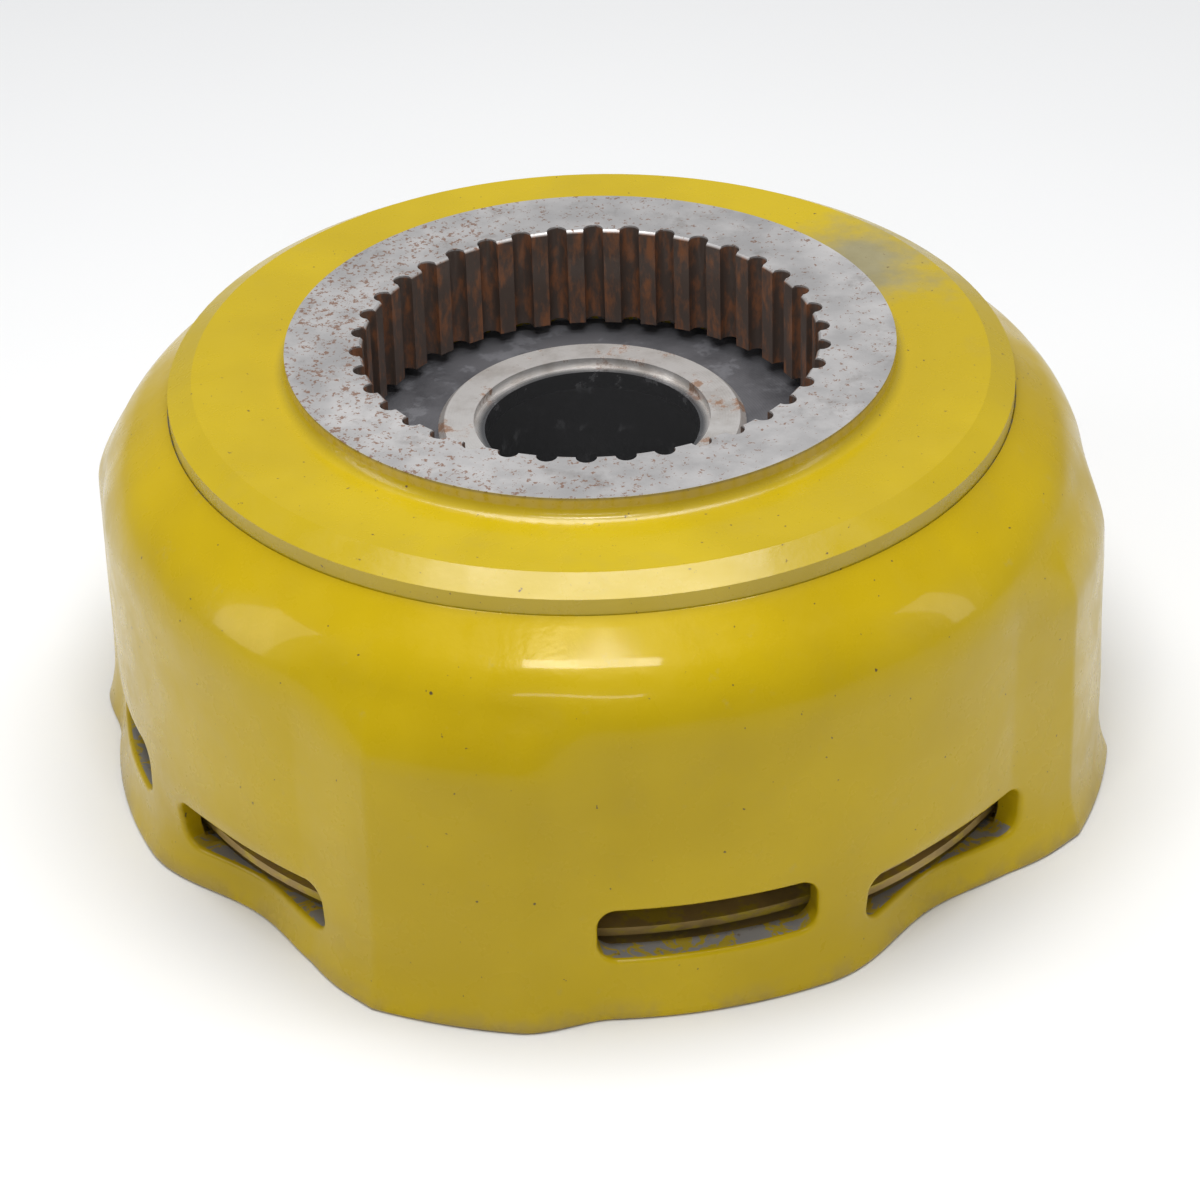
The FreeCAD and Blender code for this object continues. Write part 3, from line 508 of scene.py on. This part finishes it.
        def local(loop_indices):
            p = points[loop_indices]
            c, s = math.cos(math.radians(centre)), math.sin(math.radians(centre))
            return -p[:, 0] * s + p[:, 1] * c, p[:, 2]

        rings = []
        far_y, far_z = local(outer_loop)
        near_y, near_z = outline(WINDOW_ROUND)
        for share in (0.25, 0.5, 0.75):
            y, z = far_y + (near_y - far_y) * share, far_z + (near_z - far_z) * share
            rings.append((turned_to(on_wall(y, z, centre), y, z, centre), 0))
        for k in range(6):
            t = math.radians(90.0 * k / 5)
            y, z = outline(WINDOW_ROUND * (1.0 - math.sin(t)))
            x = on_wall(y, z, centre) - WINDOW_ROUND * (1.0 - math.cos(t))
            rings.append((turned_to(x, y, z, centre), 0))
        y, z = outline(0.0)
        face = on_wall(y, z, centre) - WINDOW_ROUND
        back = on_bore(y, z, centre) + 0.8
        for share in (0.25, 0.5, 0.75, 1.0):
            rings.append((turned_to(face + (back - face) * share, y, z, centre), 2))
        y, z = outline(0.8)
        rings.append((turned_to(on_bore(y, z, centre), y, z, centre), 1))
        far_y, far_z = local(inner_loop)
        for share in (0.33, 0.67):
            yy, zz = y + (far_y - y) * share, z + (far_z - z) * share
            rings.append((turned_to(on_bore(yy, zz, centre), yy, zz, centre), 1))
        loops = [outer_loop]
        tones = [0]
        for block, tone in rings:
            loops.append(list(range(offset, offset + count)))
            tones.append(tone)
            extra.append(block)
            offset += count
        loops.append(inner_loop)
        tones.append(1)
        for one, two, tone in zip(loops, loops[1:], tones[1:]):
            for m in range(count):
                n = (m + 1) % count
                faces.append((one[m], one[n], two[n], two[m]))
                indices.append(2 if tone == 2 and m < long_cells else (1 if tone == 1 else 0))
    points = np.concatenate([points] + extra)
    return make_mesh("drum_casting", points, faces, [yellow, sill, sill], DRUM_SHARP, indices)


drum = build_drum()
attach(drum, "drum")
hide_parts("lobed_drum")

# ------------------------------------------------------------------ disc springs
spring_finish = bare_steel("spring_black", base=(0.07, 0.07, 0.075), rust=0.3, seed=33.0)
for index in range(4):
    low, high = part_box(f"disc_spring_{index + 1}")
    low, high = low.z / MM, high.z / MM
    lift_in, lift_out = (SPRING_CONE, 0.0) if index % 2 == 0 else (0.0, SPRING_CONE)
    thick = high - low - SPRING_CONE
    spring = lathe(f"coned_spring_{index + 1}", [
        (SPRING_INNER, low + lift_in, SPRING_ROUND), (SPRING_OUTER, low + lift_out, SPRING_ROUND),
        (SPRING_OUTER, low + lift_out + thick, SPRING_ROUND),
        (SPRING_INNER, low + lift_in + thick, SPRING_ROUND)], spring_finish)
    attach(spring, "hub")
    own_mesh(spring)
    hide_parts(f"disc_spring_{index + 1}")


# ------------------------------------------------------------------ CAD nodes that stay

def flange_finish():
    """Enamel outside; a bare ground top face and rusty teeth inside."""
    m = Nodes("flange_enamel_and_steel")
    light, deep = (0.53, 0.385, 0.004), (0.46, 0.33, 0.004)
    colour = m.mix(m.step(m.noise(9.0, 3.0), 0.35, 0.65), deep, light)
    stain = m.step(m.noise(26.0, 6.0, 0.65, offset=3.1), 0.54, 0.76, 0.0, 0.15)
    colour = m.mix(stain, colour, (0.33, 0.25, 0.07))
    patch_x = m.maths("SUBTRACT", m.x, 0.118)
    patch_y = m.maths("SUBTRACT", m.y, 0.075)
    away = m.maths("SQRT", m.maths("ADD", m.maths("POWER", patch_x, 2.0), m.maths("POWER", patch_y, 2.0)))
    away = m.maths("ADD", away, m.maths("MULTIPLY", m.noise(45.0, 5.0, 0.65, offset=6.0), 0.07))
    dirty = m.step(away, 0.085, 0.040, 0.0, 0.8)
    grime = m.mix(m.noise(70.0, 5.0, 0.7, offset=8.0), (0.30, 0.29, 0.22), (0.16, 0.15, 0.11))
    colour = m.mix(dirty, colour, grime)
    speck = m.step(m.noise(330.0, 3.0, 0.6, offset=5.0), 0.69, 0.74)
    colour = m.mix(speck, colour, (0.12, 0.07, 0.03))
    inside = m.step(m.radius, 0.1276, 0.1270)
    edge = m.maths("ADD", m.radius, m.maths("MULTIPLY", m.noise(160.0, 4.0, offset=1.0), 0.0012))
    rim = m.maths("MULTIPLY", m.step(m.z, 0.1922, 0.1938), m.step(edge, 0.1272, 0.1280))
    colour = m.mix(m.maths("MULTIPLY", rim, 0.7), colour, (0.10, 0.075, 0.03))
    bare = m.maths("MAXIMUM", inside, m.step(m.z, 0.1937, 0.1939))
    metal = m.mix(m.step(m.noise(16.0, 4.0, offset=11.0), 0.35, 0.65),
                  (0.70, 0.68, 0.67), (0.57, 0.555, 0.55))
    smear = m.step(m.noise(55.0, 6.0, 0.7, offset=12.0), 0.54, 0.72, 0.0, 0.45)
    metal = m.mix(smear, metal, (0.30, 0.27, 0.25))
    left = m.step(m.x, 0.07, -0.11, 0.0, 0.06)
    rust = m.maths("ADD", m.noise(430.0, 4.0, 0.65, offset=14.0), left)
    rust = m.maths("ADD", rust, m.maths("MULTIPLY", m.noise(32.0, 4.0, 0.6, offset=19.0), 0.10))
    rust = m.step(rust, 0.645, 0.72, 0.0, 0.8)
    metal = m.mix(rust, metal, (0.20, 0.08, 0.03))
    teeth = m.maths("MULTIPLY", m.step(m.radius, 0.1014, 0.1006), m.step(m.z, 0.1938, 0.1928))
    tooth = m.mix(m.step(m.noise(190.0, 5.0, 0.65, stretch=(1, 1, 0.35), offset=3.0), 0.44, 0.68),
                  (0.085, 0.058, 0.045), (0.24, 0.095, 0.040))
    metal = m.mix(teeth, metal, tooth)
    colour = m.mix(bare, colour, metal)
    gloss = m.step(m.noise(45.0, 4.0, 0.6, offset=2.0), 0.3, 0.75, 0.22, 0.40)
    dull = m.maths("ADD", m.step(m.noise(60.0, 4.0, offset=5.0), 0.3, 0.7, 0.36, 0.50),
                   m.maths("MULTIPLY", m.maths("MAXIMUM", rust, teeth), 0.25))
    rough = m.maths("ADD", m.maths("MULTIPLY", gloss, m.maths("SUBTRACT", 1.0, bare)),
                    m.maths("MULTIPLY", dull, bare))
    rough = m.maths("ADD", rough, m.maths("MULTIPLY", dirty, 0.2))
    metallic = m.maths("MULTIPLY", bare, m.maths("SUBTRACT", 0.72, m.maths("MULTIPLY", teeth, 0.5)))
    soft = m.bump(m.noise(22.0, 2.0), 0.0010, 0.25)
    peel = m.bump(m.noise(150.0, 3.0, 0.5), 0.0004, 0.25, soft)
    normal = m.bump(m.noise(520.0, 2.0), 0.00015, 0.3, peel)
    m.bsdf.inputs["Coat Weight"].default_value = 0.22
    m.bsdf.inputs["Coat Roughness"].default_value = 0.1
    return m.finish(colour, rough, normal, metallic)


def hub_finish():
    """Turned steel: bright boss with rust, a floor darkened as painted shade, and a bore darkened to near
    black as painted shade.
    """
    m = Nodes("hub_turned_steel")
    # Painted shade: the floor below the boss is a darker copy of the turned steel, standing in for the
    # shade under the ring.
    floor = m.mix(m.step(m.noise(24.0, 5.0, 0.6), 0.4, 0.66), (0.20, 0.20, 0.215), (0.11, 0.11, 0.12))
    boss = m.mix(m.step(m.noise(60.0, 5.0, 0.6, offset=2.0), 0.4, 0.66),
                 (0.86, 0.83, 0.80), (0.68, 0.64, 0.60))
    rust = m.maths("ADD", m.noise(75.0, 6.0, 0.7, offset=4.0), m.step(m.radius, 0.058, 0.065, 0.0, 0.05))
    rust = m.step(rust, 0.56, 0.66, 0.0, 0.85)
    boss = m.mix(rust, boss, (0.24, 0.10, 0.035))
    top = m.step(m.z, 0.1435, 0.1455)
    colour = m.mix(top, floor, boss)
    # Painted shade: the bore is darkened to near black, standing in for the shade inside the hole; its
    # roughness is also lowered.
    bore = m.step(m.radius, 0.0505, 0.0462)
    bore = m.maths("MULTIPLY", bore, m.step(m.z, 0.1552, 0.1540))
    colour = m.mix(bore, colour, (0.16, 0.16, 0.165))
    rough = m.step(top, 0.0, 1.0, 0.50, 0.36)
    rough = m.maths("ADD", rough, m.maths("MULTIPLY", m.maths("MULTIPLY", rust, top), 0.22))
    rough = m.maths("SUBTRACT", rough, m.maths("MULTIPLY", bore, 0.22))
    turned = m.maths("SINE", m.maths("MULTIPLY", m.radius, 5200.0))
    normal = m.bump(m.noise(480.0, 3.0), 0.00015, 0.4, m.bump(turned, 0.00004, 0.3))
    return m.finish(colour, rough, normal, m.step(rust, 0.0, 1.0, 0.70, 0.35))


def plate_finish(name, base, over, share, metallic, seed):
    """Blotchy metal with a second tone over part of it."""
    m = Nodes(name)
    deep = tuple(0.7 * c for c in base)
    colour = m.mix(m.step(m.noise(30.0, 5.0, 0.6, offset=seed), 0.4, 0.65), base, deep)
    spray = m.step(m.noise(55.0, 5.0, 0.65, stretch=(1, 1, 3.0), offset=seed + 3.0), 0.48, 0.60, 0.0, share)
    colour = m.mix(spray, colour, over)
    rough = m.step(m.noise(80.0, 4.0, offset=seed), 0.3, 0.7, 0.38, 0.6)
    normal = m.bump(m.noise(600.0, 3.0), 0.00012, 0.5)
    return m.finish(colour, rough, normal, metallic)


brass = plate_finish("cage_bronze", (0.50, 0.34, 0.12), (0.20, 0.13, 0.05), 0.4, 0.9, 3.0)
lining = plate_finish("sintered_bronze", (0.48, 0.29, 0.08), (0.24, 0.14, 0.045), 0.6, 0.25, 5.0)
plates = plate_finish("plate_edges", (0.42, 0.29, 0.10), (0.52, 0.39, 0.03), 0.9, 0.2, 8.0)
black = plate_finish("black_oxide", (0.02, 0.02, 0.022), (0.06, 0.05, 0.045), 0.5, 0.6, 11.0)
polished = plate_finish("bearing_polish", (0.55, 0.55, 0.56), (0.42, 0.42, 0.43), 0.5, 0.95, 14.0)
FINISHES = (("drive_flange", flange_finish()), ("hub", hub_finish()), ("flange_screws", black),
            ("end_plate_screws", black), ("bearing_cage", brass), ("bearing", polished),
            ("lining", lining), ("outer_plate", plates), ("inner_plate", plates),
            ("pressure_plate", plates), ("spring_plate", steel), ("spring_retaining", spring_finish),
            ("end_plate", steel))
for name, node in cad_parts.items():
    for prefix, finish in FINISHES:
        if name.startswith(prefix):
            if not node.material_slots:
                node.data.materials.append(finish)
            for material_slot in node.material_slots:
                material_slot.material = finish
            break
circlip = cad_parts["bearing_circlip"]
for material_slot in circlip.material_slots:
    material_slot.material = spring_finish

# ------------------------------------------------------------------ stage, light and camera

def stage_material():
    m = Nodes("pale_floor", Roughness=0.85)
    return m.finish(m.mix(m.noise(3.0, 2.0), (0.84, 0.84, 0.84), (0.87, 0.87, 0.87)))


floor_mesh = bpy.data.meshes.new("floor")
floor_mesh.from_pydata([(-6, -6, 0), (6, -6, 0), (6, 6, 0), (-6, 6, 0)], [], [(0, 1, 2, 3)])
floor_mesh.materials.append(stage_material())
floor = bpy.data.objects.new("floor", floor_mesh)
bpy.context.scene.collection.objects.link(floor)


def area_light(name, place, aim, width, height, power, tint=(1.0, 1.0, 1.0)):
    data = bpy.data.lights.new(name, "AREA")
    data.shape = "RECTANGLE"
    data.size, data.size_y = width, height
    data.energy = power
    data.color = tint
    lamp = bpy.data.objects.new(name, data)
    bpy.context.scene.collection.objects.link(lamp)
    away = Vector(place) - Vector(aim)
    lamp.location = place
    lamp.rotation_euler = away.to_track_quat("Z", "Y").to_euler()


area_light("overhead", (0.0, 0.1, 1.9), (0.0, 0.0, 0.15), 1.5, 0.9, 27.0)
area_light("front_strip", (-0.05, -0.95, 1.85), (0.0, 0.0, 0.15), 0.75, 0.20, 12.0)
area_light("low_strip", (-0.15, -1.9, 1.25), (0.0, 0.0, 0.12), 0.9, 0.10, 3.0)
area_light("left_fill", (-1.9, -0.3, 0.9), (0.0, 0.0, 0.12), 0.5, 1.4, 7.0)
area_light("right_fill", (1.9, -0.3, 0.8), (0.0, 0.0, 0.12), 0.3, 1.2, 4.0)
world = bpy.data.worlds.new("soft_world")
world.use_nodes = True
world.node_tree.nodes["Background"].inputs[0].default_value = (0.93, 0.96, 1.0, 1.0)
world.node_tree.nodes["Background"].inputs[1].default_value = 0.26
bpy.context.scene.world = world
bpy.context.scene.view_settings.view_transform = "Standard"

tilt, roll = math.radians(32.86), math.radians(-1.69)
ahead = np.array([0.0, math.cos(tilt), -math.sin(tilt)])
lift = np.array([0.0, math.sin(tilt), math.cos(tilt)])
side = np.array([1.0, 0.0, 0.0])
right = math.cos(roll) * side + math.sin(roll) * lift
upward = -math.sin(roll) * side + math.cos(roll) * lift
camera_data = bpy.data.cameras.new("camera")
camera_data.sensor_width = 36.0
camera_data.lens = 130.23
camera = bpy.data.objects.new("camera", camera_data)
bpy.context.scene.collection.objects.link(camera)
pose = np.eye(4)
pose[:3, 0], pose[:3, 1], pose[:3, 2] = right, upward, -ahead
pose[:3, 3] = (0.00101, -1.57806, 1.0834)
camera.matrix_world = Matrix(pose.tolist())
bpy.context.scene.camera = camera
